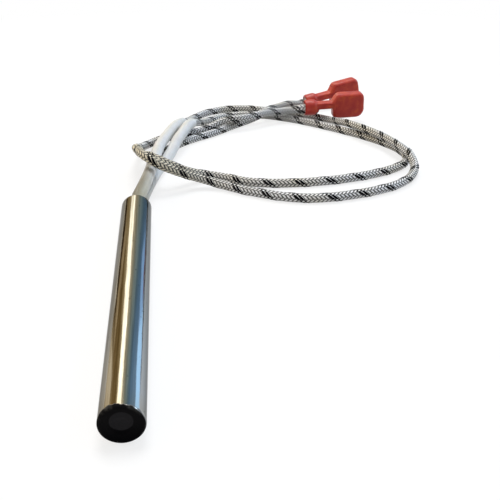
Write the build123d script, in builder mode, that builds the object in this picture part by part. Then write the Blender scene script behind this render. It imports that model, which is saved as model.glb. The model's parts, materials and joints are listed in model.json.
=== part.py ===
from build123d import *
import math
import os

os.makedirs("parts", exist_ok=True)

# Pellet stove igniter: a cartridge heater with two braided leads and insulated push-on
# connectors. Millimetres. The table is z = 0, the rod lies along Y with its tip at -Y,
# and the origin is on the table below the middle of the rod.

# Driving dimensions of the rod
rod_dia = 9.525
rod_len = 101.6
sheath_wall = 0.7
tip_edge_chamfer = 0.55
end_rim_thick = 1.6
end_disc_thick = 2.4
end_dish_dia = 3.6
end_dish_depth = 0.2
tip_insulator_thick = 2.5
seat_clearance = 0.05

# Driving dimensions of the winding inside
core_dia = 5.6
core_tip_gap = 0.8
core_splice_gap = 1.2
pin_dia = 1.6
pin_spread = 1.6
long_pin_past_core = 0.6
short_pin_in_core = 12.0
coil_wire = 0.5
coil_turns = 7.5
coil_tail_len = 1.2
coil_tail_thick = 0.4
coil_gap = 0.05

# Driving dimensions of the splices and the open end
splice_insulator_len = 10.0
ferrule_dia = 2.4
ferrule_len = 8.0
pin_in_ferrule = 3.2
wire_bend_len = 3.7
bushing_len = 6.0
bushing_slack = 0.2
bushing_lead_depth = 3.0
lead_spread = 2.19
lead_clock = 8.0

# Driving dimensions of the leads and their sleeves
lead_dia = 3.3
conductor_dia = 0.96
conductor_bend = 1.5
strip_overlap = 0.6
sleeve_dia = 4.3
sleeve_bore = 3.4
sleeve_corners = 11
cord_sides = 6

# Driving dimensions of a connector, measured from the end that the lead enters
barrel_dia = 7.2
barrel_bore = 5.8
barrel_len = 6.6
barrel_mouth_chamfer = 0.4
barrel_taper_len = 2.0
barrel_taper_depth = 1.2
neck_height = 3.1
neck_thick = 5.2
neck_rise = 0.75
neck_end = 13.0
neck_edge_chamfer = 0.6
housing_len = 27.5
housing_width = 11.1
housing_thick = 6.3
housing_rise = 0.2
housing_edge_chamfer = 0.9
shoulder_start = 11.6
shoulder_end = 15.2
shoulder_top_round = 2.4
shoulder_low_round = 1.5
mouth_top_round = 2.4
mouth_low_round = 4.0
cavity_width = 8.8
cavity_thick = 4.4
cavity_start = 14.4
passage_thick = 4.3
passage_height = 2.2
passage_start = 5.6
wire_entry = 0.3
crimp_ring_wall = 0.4
crimp_ring_len = 4.2
crimp_ring_inset = 0.6
lead_in_barrel = 3.6
lead_sag_in_barrel = 0.4
wire_end = 12.0

# Driving dimensions of a receptacle
tab_width = 6.2
tab_thick = 0.8
tab_play = 0.05
brass_thick = 0.3
roll_radius = 0.85
lip_turn = 50.0
clip_len = 7.8
clip_mouth_inset = 1.3
wire_crimp_width = 4.1
wire_crimp_height = 1.8
wire_crimp_start = 7.0
wire_crimp_len = 5.6
strap_overlap = 0.4

# Places that follow from the sizes above
axis_height = rod_dia / 2
bore_dia = rod_dia - 2 * sheath_wall
inner_dia = bore_dia - 2 * seat_clearance
coil_mid_radius = core_dia / 2 + coil_gap + coil_wire / 2
coil_outer_dia = core_dia + 2 * (coil_gap + coil_wire)
pin_reach = pin_spread + pin_dia / 2
tip_y = -rod_len / 2
lead_end_y = rod_len / 2
insulator_y = tip_y + end_disc_thick
fill_y = insulator_y + tip_insulator_thick
core_y = fill_y + core_tip_gap
bushing_y = lead_end_y - bushing_len
splice_end_y = bushing_y - wire_bend_len
ferrule_y = splice_end_y - ferrule_len
pin_end_y = ferrule_y + pin_in_ferrule
fill_end_y = splice_end_y - splice_insulator_len
core_end_y = fill_end_y - core_splice_gap
core_len = core_end_y - core_y
coil_pitch = (core_len - 2 * coil_tail_len) / coil_turns
housing_low = housing_rise - housing_width / 2
housing_top = housing_rise + housing_width / 2
neck_low = neck_rise - neck_height / 2
neck_top = neck_rise + neck_height / 2
base_offset = tab_thick / 2 + tab_play + brass_thick / 2
roll_spread = tab_width / 2
clip_end = housing_len - clip_mouth_inset
clip_start = clip_end - clip_len
strap_start = wire_crimp_start + wire_crimp_len - strap_overlap

# Where the two connectors lie: the middle of the end that the lead enters, the heading in
# plan from +X, and the pitch. The front one rests on lead 1, the rear one on its barrel.
rear_pitch = 11.0
rear_height = barrel_dia / 2 * math.cos(math.radians(rear_pitch)) + seat_clearance
connector_seats = {
    1: (73.6, lead_end_y + 99.6, lead_dia + barrel_dia / 2 + seat_clearance, -1.5, 2.5),
    2: (78.2, lead_end_y + 120.5, rear_height, 8.0, rear_pitch),
}

# Routes of the two leads, chosen by hand: from the bushing, round the loop, to the barrels.
# Here Y is measured from the rod's open end.
lead_1_route = [
    (0.3, -3, 6.93),
    (0.3, 3, 6.93),
    (1.4, 9, 6.95),
    (2.9, 18.2, 6.85),
    (4.3, 28.7, 6.7),
    (5.4, 40.2, 6.4),
    (6.4, 51.2, 5.7),
    (7.9, 61.2, 5.5),
    (10.4, 70.7, 5.5),
    (13.3, 80.2, 6.0),
    (15.7, 89.7, 4.7),
    (20, 101.7, 1.9),
    (29.5, 116.7, 1.65),
    (45, 122.2, 1.65),
    (63, 114.2, 1.65),
    (78, 104.7, 1.65),
    (86, 95.2, 1.8),
    (89, 83.2, 4.65),
    (93.5, 72.7, 5.3),
    (99.5, 61.7, 5.05),
    (102.6, 47.2, 5.3),
    (103.9, 37.7, 5.05),
    (103.2, 28.7, 1.65),
    (93.5, 16.7, 1.65),
    (76, 9.7, 1.65),
    (56, 7.5, 1.65),
    (38, 17.2, 1.65),
    (29.5, 24.2, 1.75),
    (22.5, 26.8, 3.3),
    (16, 25, 6.2),
    (10.2, 23, 9.4),
    (5, 24, 12.1),
    (1.4, 28.5, 13.2),
    (-0.2, 36.7, 11.9),
    (-1.3, 47.2, 8.9),
    (-0.8, 57.7, 5.0),
    (1, 68.7, 2.2),
    (6.5, 77.2, 1.65),
    (16.5, 84.2, 1.65),
    (27.5, 88.2, 1.65),
    (36, 91.2, 5.3),
    (44.5, 92.2, 5.2),
    (54, 97.7, 5.6),
    (60.5, 101.2, 5.1),
    (66.5, 101.6, 5.4),
    (72, 99.7, 6.45),
    (77.2, 99.5, 6.7),
]
lead_2_route = [
    (-0.3, -3, 2.59),
    (-0.3, 3, 2.59),
    (0.8, 9, 2.5),
    (2.2, 18.2, 2.3),
    (3.9, 28.7, 2.2),
    (6.3, 39.2, 2.15),
    (9.2, 49.2, 2.2),
    (12, 57.7, 3.0),
    (14.6, 65.7, 5.4),
    (17.4, 74.2, 5.8),
    (20.0, 83.2, 6.4),
    (23.2, 91.7, 4.3),
    (28.2, 100.2, 1.65),
    (37, 108.7, 1.65),
    (52, 110.7, 1.65),
    (70, 99.7, 1.65),
    (86, 83.2, 1.65),
    (97, 69.7, 1.65),
    (104.8, 55.2, 1.65),
    (105.2, 44.2, 1.65),
    (100.3, 35.7, 1.65),
    (90, 29.2, 1.65),
    (74, 24.2, 1.65),
    (56, 22.4, 1.65),
    (40, 24.7, 1.65),
    (31.5, 31, 1.65),
    (24.5, 33.2, 2.2),
    (18, 31, 4.4),
    (12.4, 28.6, 7.8),
    (7.6, 28.7, 10.5),
    (3.7, 31.8, 11.0),
    (2.1, 37.1, 9.5),
    (1.6, 42.8, 7.4),
    (1.9, 49.7, 4.3),
    (3.6, 56.2, 1.65),
    (9.5, 63.2, 1.65),
    (18.5, 75.2, 1.65),
    (31, 84.2, 1.65),
    (42, 95.7, 1.65),
    (51, 101.2, 2.4),
    (57, 104, 5.4),
    (62.8, 109.2, 5.1),
    (68, 113.4, 5.1),
    (70.9, 116.9, 4.3),
    (74.3, 119.3, 3.3),
    (77.9, 120.4, 3.1),
    (81.7, 121, 3.85),
]
lead_routes = {
    number: [(x, lead_end_y + y, z) for x, y, z in route]
    for number, route in {1: lead_1_route, 2: lead_2_route}.items()
}


def rod_plane(y):
    """Plane across the rod at y: its X runs from lead 2's side of the axis to lead 1's."""
    clock = math.radians(lead_clock)
    upward = (math.sin(clock), 0, math.cos(clock))
    return Plane(origin=(0, y, axis_height), x_dir=upward, z_dir=(0, 1, 0))


def seat_of(number):
    """Location of a connector: local X runs from the lead's end to the mouth, Z is up."""
    x, y, z, heading, pitch = connector_seats[number]
    return Location((x, y, z)) * Location((0, 0, 0), (0, 0, heading)) * Location((0, 0, 0), (0, -pitch, 0))


def across(x):
    """Plane across a connector at x, with its width along the plane's Y."""
    return Plane(origin=(x, 0, 0), x_dir=(0, 1, 0), z_dir=(1, 0, 0))


def bend_radii(points):
    """Radius of each corner's arc: 0.45 of its shorter run over the tangent of half the turn."""
    radii = []
    for before, corner, after in zip(points, points[1:], points[2:]):
        run_in = Vector(*corner) - Vector(*before)
        run_out = Vector(*after) - Vector(*corner)
        half_turn = math.radians(run_in.get_angle(run_out)) / 2
        radii.append(0.45 * min(run_in.length, run_out.length) / math.tan(half_turn))
    return radii


def swept_cord(points, outer_dia):
    """Solid cord along a route: straight runs joined by tangent arcs."""
    with BuildPart() as tube:
        with BuildLine():
            path = FilletPolyline(*points, radius=bend_radii(points))
        with BuildSketch(Plane(origin=path @ 0, x_dir=(1, 0, 0), z_dir=path % 0)):
            RegularPolygon(outer_dia / 2, cord_sides)
        sweep()
    return tube.part, path.length


def wire(points, bend):
    """Round stripped conductor along a short route with equal bends."""
    with BuildPart() as strand:
        with BuildLine():
            path = FilletPolyline(*points, radius=bend)
        with BuildSketch(Plane(origin=path @ 0, z_dir=path % 0)):
            RegularPolygon(conductor_dia / 2, cord_sides)
        sweep()
    return strand.part


# Sheath tube: the drawn steel tube between the end disc and the open end
with BuildPart() as sheath_tube:
    with BuildSketch(rod_plane(tip_y + end_rim_thick)):
        Circle(rod_dia / 2)
        Circle(bore_dia / 2, mode=Mode.SUBTRACT)
    extrude(amount=rod_len - end_rim_thick)
sheath_tube.part.label = "sheath_tube"
export_step(sheath_tube.part, "parts/sheath_tube.step")

# End disc: closes the tip, with a chamfered rim, a spigot in the bore and a shallow dish
with BuildPart() as end_disc:
    with BuildSketch(rod_plane(tip_y)):
        Circle(rod_dia / 2)
    extrude(amount=end_rim_thick)
    chamfer(end_disc.edges().group_by(Axis.Y)[0], tip_edge_chamfer)
    with BuildSketch(rod_plane(tip_y + end_rim_thick)):
        Circle(inner_dia / 2)
    extrude(amount=end_disc_thick - end_rim_thick)
    with BuildSketch(rod_plane(tip_y)):
        Circle(end_dish_dia / 2)
    extrude(amount=end_dish_depth, mode=Mode.SUBTRACT)
end_disc.part.label = "end_disc"
export_step(end_disc.part, "parts/end_disc.step")

# Tip insulator: the ceramic disc between the winding and the end disc
with BuildPart() as tip_insulator:
    with BuildSketch(rod_plane(insulator_y)):
        Circle(inner_dia / 2)
    extrude(amount=tip_insulator_thick)
tip_insulator.part.label = "tip_insulator"
export_step(tip_insulator.part, "parts/tip_insulator.step")

# Magnesia fill: the packed powder between the winding and the sheath
with BuildPart() as magnesia_fill:
    with BuildSketch(rod_plane(fill_y)):
        Circle(inner_dia / 2)
        Circle(coil_outer_dia / 2 + seat_clearance, mode=Mode.SUBTRACT)
    extrude(amount=fill_end_y - fill_y)
magnesia_fill.part.label = "magnesia_fill"
export_step(magnesia_fill.part, "parts/magnesia_fill.step")

# Winding core: the ceramic rod that the wire is wound on, bored for the two pins
with BuildPart() as winding_core:
    with BuildSketch(rod_plane(core_y)):
        Circle(core_dia / 2)
        with Locations((-pin_spread, 0)):
            Circle(pin_dia / 2 + seat_clearance, mode=Mode.SUBTRACT)
    extrude(amount=core_len)
    with BuildSketch(rod_plane(core_end_y - short_pin_in_core)):
        with Locations((pin_spread, 0)):
            Circle(pin_dia / 2 + seat_clearance)
    extrude(amount=short_pin_in_core, mode=Mode.SUBTRACT)
winding_core.part.label = "winding_core"
export_step(winding_core.part, "parts/winding_core.step")

# Power pins: the long one runs through the core to its far end, the short one ends inside it
pin_starts = {1: core_end_y - short_pin_in_core, 2: core_y - long_pin_past_core}
pin_sides = {1: 1, 2: -1}
for number, start in pin_starts.items():
    with BuildPart() as power_pin:
        with BuildSketch(rod_plane(start)):
            with Locations((pin_sides[number] * pin_spread, 0)):
                Circle(pin_dia / 2)
        extrude(amount=pin_end_y - start)
    power_pin.part.label = f"power_pin_{number}"
    export_step(power_pin.part, f"parts/power_pin_{number}.step")

# Heating coil: square wire wound on the core, with a tail at each end that turns in over the
# core's edge to the side of a pin. The wire is wound in its own frame, then set on the core.
with BuildPart() as coil_winding:
    with BuildLine():
        coil_line = Helix(coil_pitch, coil_pitch * coil_turns, coil_mid_radius)
    with BuildSketch(Plane(origin=coil_line @ 0, x_dir=(1, 0, 0), z_dir=coil_line % 0)):
        Rectangle(coil_wire, coil_wire)
    sweep(is_frenet=True)

with BuildPart() as heating_coil:
    with Locations(rod_plane(core_y + coil_tail_len).location * Location((0, 0, 0), (0, 0, 180))):
        add(coil_winding.part)
    for side, edge_y, outward in ((-1, core_y, -1), (1, core_end_y, 1)):
        with BuildSketch(rod_plane(edge_y + outward * coil_tail_thick)):
            with Locations((side * (pin_reach + coil_mid_radius) / 2, 0)):
                Rectangle(coil_mid_radius - pin_reach, coil_tail_thick)
        extrude(amount=-outward * coil_tail_thick)
        with BuildSketch(rod_plane(edge_y + outward * coil_tail_thick)):
            with Locations((side * coil_mid_radius, 0)):
                Rectangle(coil_tail_thick, coil_tail_thick)
        extrude(amount=-outward * (coil_tail_thick + coil_tail_len))
heating_coil.part.label = "heating_coil"
export_step(heating_coil.part, "parts/heating_coil.step")

# Splice insulator: the ceramic plug that keeps the two splices apart
with BuildPart() as splice_insulator:
    with BuildSketch(rod_plane(fill_end_y)):
        Circle(inner_dia / 2)
        with Locations((-pin_spread, 0), (pin_spread, 0)):
            Circle(ferrule_dia / 2 + seat_clearance, mode=Mode.SUBTRACT)
    extrude(amount=splice_insulator_len)
splice_insulator.part.label = "splice_insulator"
export_step(splice_insulator.part, "parts/splice_insulator.step")

# Splices: crimped ferrules that join each pin to the wire of its lead
for number, side in pin_sides.items():
    with BuildPart() as lead_splice:
        with BuildSketch(rod_plane(ferrule_y)):
            with Locations((side * pin_spread, 0)):
                Circle(ferrule_dia / 2)
        extrude(amount=ferrule_len)
        with BuildSketch(rod_plane(ferrule_y)):
            with Locations((side * pin_spread, 0)):
                Circle(pin_dia / 2 + seat_clearance)
        extrude(amount=pin_end_y - ferrule_y, mode=Mode.SUBTRACT)
        with BuildSketch(rod_plane(pin_end_y)):
            with Locations((side * pin_spread, 0)):
                Circle(conductor_dia / 2 + seat_clearance)
        extrude(amount=splice_end_y - pin_end_y, mode=Mode.SUBTRACT)
    lead_splice.part.label = f"lead_splice_{number}"
    export_step(lead_splice.part, f"parts/lead_splice_{number}.step")

# Lead end bushing: the ceramic plug in the open end, flush with the sheath
with BuildPart() as lead_end_bushing:
    with BuildSketch(rod_plane(bushing_y)):
        Circle(inner_dia / 2)
        with Locations((-lead_spread, 0), (lead_spread, 0)):
            Circle(conductor_dia / 2 + bushing_slack, mode=Mode.SUBTRACT)
    extrude(amount=bushing_len)
    with BuildSketch(rod_plane(lead_end_y)):
        with Locations((-lead_spread, 0), (lead_spread, 0)):
            Circle(lead_dia / 2 + seat_clearance)
    extrude(amount=-bushing_lead_depth, mode=Mode.SUBTRACT)
lead_end_bushing.part.label = "lead_end_bushing"
export_step(lead_end_bushing.part, "parts/lead_end_bushing.step")

# Leads: braid-covered wires, bare inside the splices and inside the connectors' crimps
for number, route in lead_routes.items():
    side = pin_sides[number]
    bushing_frame = rod_plane(bushing_y)
    wire_in_rod = [
        bushing_frame.from_local_coords((side * pin_spread, 0, pin_end_y - bushing_y)),
        bushing_frame.from_local_coords((side * pin_spread, 0, splice_end_y - bushing_y)),
        bushing_frame.from_local_coords((side * lead_spread, 0, 0)),
        bushing_frame.from_local_coords((side * lead_spread, 0, bushing_len - bushing_lead_depth + strip_overlap)),
    ]
    seat_frame = Plane(seat_of(number))
    wire_in_connector = [
        seat_frame.from_local_coords((lead_in_barrel - strip_overlap, 0, -lead_sag_in_barrel)),
        seat_frame.from_local_coords((lead_in_barrel + strip_overlap, 0, -lead_sag_in_barrel)),
        seat_frame.from_local_coords((passage_start + wire_entry, 0, neck_rise)),
        seat_frame.from_local_coords((wire_end, 0, neck_rise)),
    ]
    cord, cord_length = swept_cord(route, lead_dia)
    with BuildPart() as lead:
        add(cord)
        add(wire(wire_in_rod, conductor_bend))
        add(wire(wire_in_connector, conductor_bend))
    lead.part.label = f"lead_{number}"
    export_step(lead.part, f"parts/lead_{number}.step")
    section = cord_sides / 2 * (lead_dia / 2) ** 2 * math.sin(2 * math.pi / cord_sides)
    print(f"lead_{number}: tube {cord_length:.1f} mm, volume {cord.volume:.1f},", end=" ")
    print(f"section x length {section * cord_length:.1f}")
    print(f"lead_{number} bend radii:", [round(radius, 1) for radius in bend_radii(route)])

# Sleeves: the smooth fibreglass sleeve over each lead, from the bushing to past the first rise
for number, route in lead_routes.items():
    last, after = route[sleeve_corners - 1], route[sleeve_corners]
    sleeve_end = tuple((a + b) / 2 for a, b in zip(last, after))
    exit_x, _, exit_z = route[0]
    sleeve_route = [(exit_x, lead_end_y, exit_z), *route[1:sleeve_corners], sleeve_end]
    with BuildPart() as sleeve:
        with BuildLine():
            sleeve_path = FilletPolyline(*sleeve_route, radius=bend_radii(route)[: sleeve_corners - 1])
        with BuildSketch(Plane(origin=sleeve_path @ 0, x_dir=(1, 0, 0), z_dir=sleeve_path % 0)):
            RegularPolygon(sleeve_dia / 2, cord_sides)
            RegularPolygon(sleeve_bore / 2, cord_sides, mode=Mode.SUBTRACT)
        sweep()
    sleeve.part.label = f"sleeve_{number}"
    export_step(sleeve.part, f"parts/sleeve_{number}.step")


# Connector housing: one nylon moulding with a round barrel, a crimped neck and a flat box,
# standing on its narrow side
with BuildPart() as terminal_housing:
    with BuildSketch(Plane.XZ.offset(-housing_thick / 2)):
        with BuildLine():
            FilletPolyline(
                (neck_end, neck_rise),
                (neck_end, housing_low),
                (housing_len, housing_low),
                (housing_len, housing_top),
                (shoulder_end, housing_top),
                (shoulder_start, neck_rise),
                radius=(0, shoulder_low_round, mouth_low_round, mouth_top_round, shoulder_top_round, 0),
                close=True,
            )
        make_face()
    extrude(amount=housing_thick)
    broad_faces = terminal_housing.faces().filter_by(Axis.Y)
    chamfer(broad_faces.edges(), housing_edge_chamfer)
    with BuildSketch(across(passage_start - 1)) as neck_section:
        with Locations((0, neck_rise)):
            Rectangle(neck_thick, neck_height)
            chamfer(neck_section.vertices(), neck_edge_chamfer)
    extrude(amount=neck_end + 2 - passage_start)
    with BuildSketch(Plane.XZ):
        with BuildLine():
            Polyline(
                (0, 0),
                (0, barrel_dia / 2 - barrel_mouth_chamfer),
                (barrel_mouth_chamfer, barrel_dia / 2),
                (barrel_len - barrel_taper_len, barrel_dia / 2),
                (barrel_len, barrel_dia / 2 - barrel_taper_depth),
                (barrel_len, 0),
                close=True,
            )
        make_face()
    revolve(axis=Axis.X)
    with BuildSketch(across(0)):
        Circle(barrel_bore / 2)
    extrude(amount=passage_start, mode=Mode.SUBTRACT)
    with BuildSketch(across(0)):
        with Locations((0, neck_rise)):
            Rectangle(passage_thick, passage_height)
    extrude(amount=cavity_start, mode=Mode.SUBTRACT)
    with BuildSketch(across(cavity_start)):
        with Locations((0, housing_rise)):
            Rectangle(cavity_thick, cavity_width)
    extrude(amount=housing_len - cavity_start, mode=Mode.SUBTRACT)

# Crimp sleeve: the metal ring in the barrel that grips the lead's covering
with BuildPart() as crimp_sleeve:
    with BuildSketch(across(crimp_ring_inset)):
        Circle(barrel_bore / 2 - seat_clearance)
        Circle(barrel_bore / 2 - seat_clearance - crimp_ring_wall, mode=Mode.SUBTRACT)
    extrude(amount=crimp_ring_len)

# Receptacle: one brass strip, rolled over at both edges to grip a tab, and crimped on the wire
with BuildPart() as receptacle:
    with BuildSketch(across(clip_start)):
        with Locations((0, housing_rise)):
            with BuildLine():
                base = Line((-base_offset, -roll_spread), (-base_offset, roll_spread))
                for side in (-1, 1):
                    JernArc((-base_offset, side * roll_spread), (0, side), roll_radius, -side * (180 + lip_turn))
            trace(line_width=brass_thick)
    extrude(amount=clip_len)
    with BuildSketch(across(wire_crimp_start)):
        with Locations((0, neck_rise)):
            RectangleRounded(wire_crimp_width, wire_crimp_height, wire_crimp_height / 2 - 0.01)
            offset(amount=-brass_thick, mode=Mode.SUBTRACT)
    extrude(amount=wire_crimp_len)
    with BuildSketch(Plane.XZ.offset(base_offset - brass_thick / 2)):
        with BuildLine():
            Polyline(
                (strap_start, neck_rise - wire_crimp_height / 2),
                (cavity_start, neck_rise - wire_crimp_height / 2),
                (clip_start, housing_rise - roll_spread),
                (clip_start, housing_rise + roll_spread),
                (cavity_start, neck_rise + wire_crimp_height / 2),
                (strap_start, neck_rise + wire_crimp_height / 2),
                close=True,
            )
        make_face()
    extrude(amount=brass_thick)

# Each connector is the same three pieces, set down where it lies
connector_pieces = {
    "terminal_housing": terminal_housing,
    "crimp_sleeve": crimp_sleeve,
    "receptacle": receptacle,
}
for number in connector_seats:
    for name, piece in connector_pieces.items():
        with BuildPart() as placed:
            with Locations(seat_of(number)):
                add(piece.part)
        placed.part.label = f"{name}_{number}"
        export_step(placed.part, f"parts/{name}_{number}.step")
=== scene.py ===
# %% [markdown]
# # Pellet stove igniter
# A round steel heater rod lies on a pale surface. Two braid-covered leads leave its open
# end inside white sleeves, make one loose turn and end in red push-on connectors. The rod's
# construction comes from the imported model. This script makes the finish of every surface,
# the braid and the sleeves, and the soft moulded form of the connectors.

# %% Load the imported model
import json
import math

import bmesh
import bpy
import numpy as np
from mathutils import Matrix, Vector

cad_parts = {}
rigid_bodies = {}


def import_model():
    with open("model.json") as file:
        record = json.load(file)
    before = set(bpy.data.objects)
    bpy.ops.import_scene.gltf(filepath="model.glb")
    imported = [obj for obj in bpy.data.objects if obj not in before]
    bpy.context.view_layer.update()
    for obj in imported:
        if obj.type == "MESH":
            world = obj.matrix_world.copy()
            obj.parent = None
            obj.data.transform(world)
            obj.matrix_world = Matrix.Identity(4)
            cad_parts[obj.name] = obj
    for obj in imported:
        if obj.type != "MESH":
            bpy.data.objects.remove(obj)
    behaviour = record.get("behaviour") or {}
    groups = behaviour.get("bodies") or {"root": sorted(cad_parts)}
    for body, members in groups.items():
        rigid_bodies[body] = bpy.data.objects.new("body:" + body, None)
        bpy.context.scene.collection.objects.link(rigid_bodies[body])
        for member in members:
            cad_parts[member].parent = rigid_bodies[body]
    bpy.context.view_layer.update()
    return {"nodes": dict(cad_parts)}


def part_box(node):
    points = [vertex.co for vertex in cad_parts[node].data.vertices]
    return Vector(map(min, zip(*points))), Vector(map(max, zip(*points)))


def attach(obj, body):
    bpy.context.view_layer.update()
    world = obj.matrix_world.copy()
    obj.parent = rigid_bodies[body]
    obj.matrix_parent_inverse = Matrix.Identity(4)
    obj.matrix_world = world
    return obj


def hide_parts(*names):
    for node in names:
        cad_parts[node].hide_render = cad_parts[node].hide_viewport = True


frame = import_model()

print("pieces in the packed model:", len(frame["nodes"]))

# %% [markdown]
# ## Units and the camera
# Blender works in metres here, and this object is easier to read in millimetres, so every
# length is written with one factor. The camera stands in front of the tip and above it. It
# could be aimed at the object by a constraint, but a place and two angles say more plainly
# where it is. They and the focal length were found by fitting the rod's outline.

# %% Millimetres, and the camera
MM = 0.001
scene = bpy.context.scene


def placed(name, data):
    """A new object in the scene, made of a mesh, a curve, a camera or a lamp."""
    made = bpy.data.objects.new(name, data)
    scene.collection.objects.link(made)
    return made


CAMERA_AT = Vector((12.58, -152.49, 94.81)) * MM
CAMERA_HEADING = math.radians(-6.769)
CAMERA_DOWN = math.radians(27.695)
FOCAL_LENGTH = 49.1
SENSOR_WIDTH = 36.0
NEAR_LIMIT = 0.01

camera_data = bpy.data.cameras.new("camera")
camera_data.lens = FOCAL_LENGTH
camera_data.sensor_width = SENSOR_WIDTH
camera_data.clip_start = NEAR_LIMIT
camera = placed("camera", camera_data)
camera.location = CAMERA_AT
camera.rotation_euler = (math.radians(90) - CAMERA_DOWN, 0, CAMERA_HEADING)
scene.camera = camera
print("camera at", tuple(round(v / MM, 1) for v in CAMERA_AT), "mm")

# %% [markdown]
# ## The routes of the two leads
# Each lead is one smooth NURBS curve with the listed control points. The same points carry
# the plain tubes of the imported model, so the braid lies where those tubes lie. A lead leaves
# the bushing, runs in its sleeve, makes the outer turn, passes over both sleeves, comes back
# under them, and climbs over the other strands to its connector. A simulated rope would
# settle in a place of its own, and this one has to lie as it does in the picture. Y is
# measured from the open end of the rod, which the imported model gives.

# %% Control points in millimetres
LEAD_1_ROUTE = [
    (0.3, -3, 6.93), (0.3, 3, 6.93), (1.4, 9, 6.95), (2.9, 18.2, 6.85),
    (4.3, 28.7, 6.7), (5.4, 40.2, 6.4), (6.4, 51.2, 5.7), (7.9, 61.2, 5.5),
    (10.4, 70.7, 5.5), (13.3, 80.2, 6.0), (15.7, 89.7, 4.7), (20, 101.7, 1.9),
    (29.5, 116.7, 1.65), (45, 122.2, 1.65), (63, 114.2, 1.65), (78, 104.7, 1.65),
    (86, 95.2, 1.8), (89, 83.2, 4.65), (93.5, 72.7, 5.3), (99.5, 61.7, 5.05),
    (102.6, 47.2, 5.3), (103.9, 37.7, 5.05), (103.2, 28.7, 1.65), (93.5, 16.7, 1.65),
    (76, 9.7, 1.65), (56, 7.5, 1.65), (38, 17.2, 1.65), (29.5, 24.2, 1.75),
    (22.5, 26.8, 3.3), (16, 25, 6.2), (10.2, 23, 9.4), (5, 24, 12.1),
    (1.4, 28.5, 13.2), (-0.2, 36.7, 11.9), (-1.3, 47.2, 8.9), (-0.8, 57.7, 5.0),
    (1, 68.7, 2.2), (6.5, 77.2, 1.65), (16.5, 84.2, 1.65), (27.5, 88.2, 1.65),
    (36, 91.2, 5.3), (44.5, 92.2, 5.2), (54, 97.7, 5.6), (60.5, 101.2, 5.1),
    (66.5, 101.6, 5.4), (72, 99.7, 6.45), (77.2, 99.5, 6.7),
]
LEAD_2_ROUTE = [
    (-0.3, -3, 2.59), (-0.3, 3, 2.59), (0.8, 9, 2.5), (2.2, 18.2, 2.3),
    (3.9, 28.7, 2.2), (6.3, 39.2, 2.15), (9.2, 49.2, 2.2), (12, 57.7, 3.0),
    (14.6, 65.7, 5.4), (17.4, 74.2, 5.8), (20.0, 83.2, 6.4), (23.2, 91.7, 4.3),
    (28.2, 100.2, 1.65), (37, 108.7, 1.65), (52, 110.7, 1.65), (70, 99.7, 1.65),
    (86, 83.2, 1.65), (97, 69.7, 1.65), (104.8, 55.2, 1.65), (105.2, 44.2, 1.65),
    (100.3, 35.7, 1.65), (90, 29.2, 1.65), (74, 24.2, 1.65), (56, 22.4, 1.65),
    (40, 24.7, 1.65), (31.5, 31, 1.65), (24.5, 33.2, 2.2), (18, 31, 4.4),
    (12.4, 28.6, 7.8), (7.6, 28.7, 10.5), (3.7, 31.8, 11.0), (2.1, 37.1, 9.5),
    (1.6, 42.8, 7.4), (1.9, 49.7, 4.3), (3.6, 56.2, 1.65), (9.5, 63.2, 1.65),
    (18.5, 75.2, 1.65), (31, 84.2, 1.65), (42, 95.7, 1.65), (51, 101.2, 2.4),
    (57, 104, 5.4), (62.8, 109.2, 5.1), (68, 113.4, 5.1), (70.9, 116.9, 4.3),
    (74.3, 119.3, 3.3), (77.9, 120.4, 3.1), (81.7, 121, 3.85),
]
OPEN_END_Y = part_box("sheath_tube")[1].y / MM
LEAD_ROUTES = {
    number: [(x, OPEN_END_Y + y, z) for x, y, z in route]
    for number, route in {1: LEAD_1_ROUTE, 2: LEAD_2_ROUTE}.items()
}
print("control points:", {number: len(route) for number, route in LEAD_ROUTES.items()})

# %% Curves through the points
CURVE_STEPS = 16
SAME_PLACE = 1e-9
LINE_SPACING = 0.25


def curve_through(route, name):
    """A NURBS curve object with the route's points as its control points."""
    data = bpy.data.curves.new(name, "CURVE")
    data.dimensions = "3D"
    data.resolution_u = CURVE_STEPS
    spline = data.splines.new("NURBS")
    spline.points.add(len(route) - 1)
    for point, place in zip(spline.points, route):
        point.co = (*(Vector(place) * MM), 1.0)
    spline.order_u = 3
    spline.use_endpoint_u = True
    return placed(name, data)


def resample(points, along, places):
    """The line's points at the given lengths."""
    return np.stack([np.interp(places, along, points[:, k]) for k in range(3)], axis=1)


def points_along(curve, spacing):
    """Evenly spaced points read from the curve, and the length at each."""
    bpy.context.view_layer.update()
    line = bpy.data.meshes.new_from_object(curve)
    raw = np.array([v.co for v in line.vertices])
    bpy.data.meshes.remove(line)
    steps = np.linalg.norm(np.diff(raw, axis=0), axis=1)
    raw = raw[np.concatenate([[True], steps > SAME_PLACE])]
    steps = np.linalg.norm(np.diff(raw, axis=0), axis=1)
    along = np.concatenate([[0], np.cumsum(steps)])
    places = np.linspace(0, along[-1], int(round(along[-1] / spacing)) + 1)
    return resample(raw, along, places), places


lead_lines = {}
for number, route in LEAD_ROUTES.items():
    guide = curve_through(route, f"lead_line_{number}")
    lead_lines[number] = points_along(guide, LINE_SPACING * MM)
    bpy.data.objects.remove(guide)
    print(f"lead {number}: {lead_lines[number][1][-1] / MM:.1f} mm long")

# %% [markdown]
# ## A frame that travels along a lead
# A tube or a braid needs two directions across the line at every point. A fixed "up" would
# twist the braid where a lead climbs over the sleeves. Turning the last pair by as little as
# possible does not. The skin over the rings is made from arrays, because a braid has tens of
# thousands of faces and a loop over them in Python would be slow.

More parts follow.
